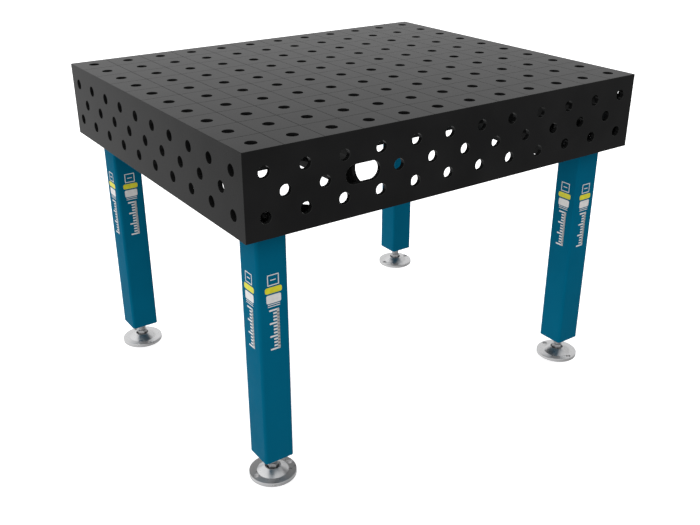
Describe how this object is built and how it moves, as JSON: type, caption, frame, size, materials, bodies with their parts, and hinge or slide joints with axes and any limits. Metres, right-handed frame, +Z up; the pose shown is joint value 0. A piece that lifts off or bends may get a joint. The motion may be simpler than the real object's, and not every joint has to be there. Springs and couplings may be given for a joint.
{
  "type": "welding table",
  "caption": "Perforated steel welding table: ribbed box top with clamping holes and engraved grid lines, on square legs with adjustable levelling feet.",
  "frame": {"origin": "on the floor, under the centre of the table", "axes": "+Z up, +X along the long side, front wall with the hand slot faces -Y"},
  "size_m": [1.2, 1, 0.88],
  "materials": {
    "nitrided_steel": "black nitrided steel, satin",
    "blue_paint": "blue powder coat, semi gloss",
    "zinc_steel": "zinc plated steel",
    "spindle_steel": "turned and threaded steel, oiled",
    "bright_steel": "turned bright steel",
    "spring_steel": "blackened spring steel",
    "bronze": "turned bearing bronze"
  },
  "bodies": {
    "table": {"top_plate": "nitrided_steel", "front_wall": "nitrided_steel", "back_wall": "nitrided_steel", "left_wall": "nitrided_steel", "right_wall": "nitrided_steel", "long_rib_front": "nitrided_steel", "long_rib_back": "nitrided_steel", "cross_rib_left": "nitrided_steel", "cross_rib_right": "nitrided_steel", "leg_screws": "zinc_steel", "leg_washers": "zinc_steel", "corner_plate_front_left": "nitrided_steel", "leg_tube_front_left": "blue_paint", "leg_head_plate_front_left": "blue_paint", "leg_end_plate_front_left": "blue_paint", "corner_plate_front_right": "nitrided_steel", "leg_tube_front_right": "blue_paint", "leg_head_plate_front_right": "blue_paint", "leg_end_plate_front_right": "blue_paint", "corner_plate_back_left": "nitrided_steel", "leg_tube_back_left": "blue_paint", "leg_head_plate_back_left": "blue_paint", "leg_end_plate_back_left": "blue_paint", "corner_plate_back_right": "nitrided_steel", "leg_tube_back_right": "blue_paint", "leg_head_plate_back_right": "blue_paint", "leg_end_plate_back_right": "blue_paint"},
    "lock_nut_front_left": {"lock_nut_front_left": "zinc_steel"},
    "seat_front_left": {"ball_seat_front_left": "bronze"},
    "spindle_front_left": {"foot_spindle_front_left": "spindle_steel"},
    "foot_front_left": {"foot_plate_front_left": "bright_steel", "retaining_ring_front_left": "spring_steel"},
    "lock_nut_front_right": {"lock_nut_front_right": "zinc_steel"},
    "seat_front_right": {"ball_seat_front_right": "bronze"},
    "spindle_front_right": {"foot_spindle_front_right": "spindle_steel"},
    "foot_front_right": {"foot_plate_front_right": "bright_steel", "retaining_ring_front_right": "spring_steel"},
    "lock_nut_back_left": {"lock_nut_back_left": "zinc_steel"},
    "seat_back_left": {"ball_seat_back_left": "bronze"},
    "spindle_back_left": {"foot_spindle_back_left": "spindle_steel"},
    "foot_back_left": {"foot_plate_back_left": "bright_steel", "retaining_ring_back_left": "spring_steel"},
    "lock_nut_back_right": {"lock_nut_back_right": "zinc_steel"},
    "seat_back_right": {"ball_seat_back_right": "bronze"},
    "spindle_back_right": {"foot_spindle_back_right": "spindle_steel"},
    "foot_back_right": {"foot_plate_back_right": "bright_steel", "retaining_ring_back_right": "spring_steel"}
  },
  "joints": [
    {"name": "foot_height_front_left", "type": "slide", "parent": "table", "child": "seat_front_left", "axis": [0, 0, -1], "range_m": [0, 0.03]},
    {"name": "spindle_turn_front_left", "type": "hinge", "parent": "seat_front_left", "child": "spindle_front_left", "pos_m": [-0.513, -0.413, 0.1], "axis": [0, 0, -1], "range_deg": [-5, 3605]},
    {"name": "foot_tilt_front_left", "type": "hinge", "parent": "seat_front_left", "child": "foot_front_left", "pos_m": [-0.513, -0.413, 0.0102], "axis": [1, 0, 0], "range_deg": [-8, 8]},
    {"name": "lock_nut_turn_front_left", "type": "hinge", "parent": "table", "child": "lock_nut_front_left", "pos_m": [-0.513, -0.413, 0.058], "axis": [0, 0, -1], "range_deg": [0, 120]},
    {"name": "foot_height_front_right", "type": "slide", "parent": "table", "child": "seat_front_right", "axis": [0, 0, -1], "range_m": [0, 0.03]},
    {"name": "spindle_turn_front_right", "type": "hinge", "parent": "seat_front_right", "child": "spindle_front_right", "pos_m": [0.513, -0.413, 0.1], "axis": [0, 0, -1], "range_deg": [-5, 3605]},
    {"name": "foot_tilt_front_right", "type": "hinge", "parent": "seat_front_right", "child": "foot_front_right", "pos_m": [0.513, -0.413, 0.0102], "axis": [1, 0, 0], "range_deg": [-8, 8]},
    {"name": "lock_nut_turn_front_right", "type": "hinge", "parent": "table", "child": "lock_nut_front_right", "pos_m": [0.513, -0.413, 0.058], "axis": [0, 0, -1], "range_deg": [0, 120]},
    {"name": "foot_height_back_left", "type": "slide", "parent": "table", "child": "seat_back_left", "axis": [0, 0, -1], "range_m": [0, 0.03]},
    {"name": "spindle_turn_back_left", "type": "hinge", "parent": "seat_back_left", "child": "spindle_back_left", "pos_m": [-0.513, 0.413, 0.1], "axis": [0, 0, -1], "range_deg": [-5, 3605]},
    {"name": "foot_tilt_back_left", "type": "hinge", "parent": "seat_back_left", "child": "foot_back_left", "pos_m": [-0.513, 0.413, 0.0102], "axis": [1, 0, 0], "range_deg": [-8, 8]},
    {"name": "lock_nut_turn_back_left", "type": "hinge", "parent": "table", "child": "lock_nut_back_left", "pos_m": [-0.513, 0.413, 0.058], "axis": [0, 0, -1], "range_deg": [0, 120]},
    {"name": "foot_height_back_right", "type": "slide", "parent": "table", "child": "seat_back_right", "axis": [0, 0, -1], "range_m": [0, 0.03]},
    {"name": "spindle_turn_back_right", "type": "hinge", "parent": "seat_back_right", "child": "spindle_back_right", "pos_m": [0.513, 0.413, 0.1], "axis": [0, 0, -1], "range_deg": [-5, 3605]},
    {"name": "foot_tilt_back_right", "type": "hinge", "parent": "seat_back_right", "child": "foot_back_right", "pos_m": [0.513, 0.413, 0.0102], "axis": [1, 0, 0], "range_deg": [-8, 8]},
    {"name": "lock_nut_turn_back_right", "type": "hinge", "parent": "table", "child": "lock_nut_back_right", "pos_m": [0.513, 0.413, 0.058], "axis": [0, 0, -1], "range_deg": [0, 120]}
  ],
  "couplings": [
    {"joint": "spindle_turn_front_left", "follows": "foot_height_front_left", "rad_per_m": 2094.4},
    {"joint": "spindle_turn_front_right", "follows": "foot_height_front_right", "rad_per_m": 2094.4},
    {"joint": "spindle_turn_back_left", "follows": "foot_height_back_left", "rad_per_m": 2094.4},
    {"joint": "spindle_turn_back_right", "follows": "foot_height_back_right", "rad_per_m": 2094.4}
  ]
}
